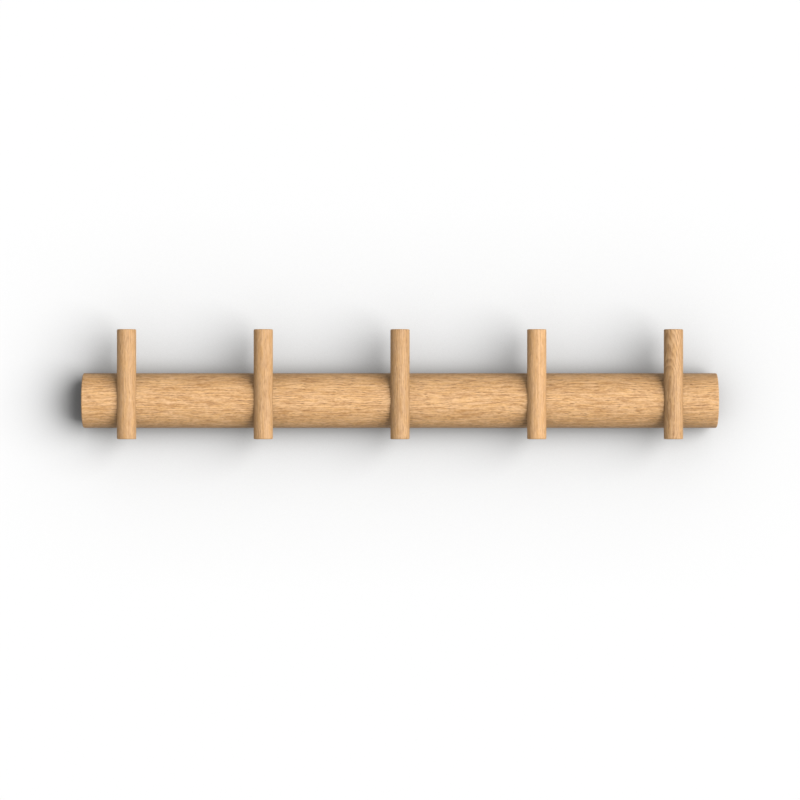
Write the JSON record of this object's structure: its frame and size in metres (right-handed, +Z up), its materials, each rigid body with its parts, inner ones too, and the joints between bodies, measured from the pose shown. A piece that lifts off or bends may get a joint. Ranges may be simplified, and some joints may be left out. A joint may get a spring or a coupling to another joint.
{
  "type": "wall hook rack",
  "caption": "Round wooden wall rail, planed flat at the back, with a row of upright round pegs as hooks across its front.",
  "frame": {"origin": "middle of the rail's flat back, in the plane of the wall and at the height of the rail's axis", "axes": "+X along the rail to the right as seen from the room, +Y into the wall, +Z up"},
  "size_m": [0.463, 0.041, 0.0798],
  "materials": {
    "rail_oak": "clear matt oiled oak",
    "peg_oak": "clear matt oiled oak",
    "peg_screw_steel": "yellow zinc plate",
    "plate_steel": "bright zinc plate, stamped",
    "plate_screw_steel": "bright zinc plate"
  },
  "bodies": {
    "root": {"rail": "rail_oak", "peg_1": "peg_oak", "peg_2": "peg_oak", "peg_3": "peg_oak", "peg_4": "peg_oak", "peg_5": "peg_oak", "peg_screw_1": "peg_screw_steel", "peg_screw_2": "peg_screw_steel", "peg_screw_3": "peg_screw_steel", "peg_screw_4": "peg_screw_steel", "peg_screw_5": "peg_screw_steel", "keyhole_plate_left": "plate_steel", "keyhole_plate_right": "plate_steel", "plate_screw_left_outer": "plate_screw_steel", "plate_screw_left_inner": "plate_screw_steel", "plate_screw_right_outer": "plate_screw_steel", "plate_screw_right_inner": "plate_screw_steel"}
  },
  "joints": []
}
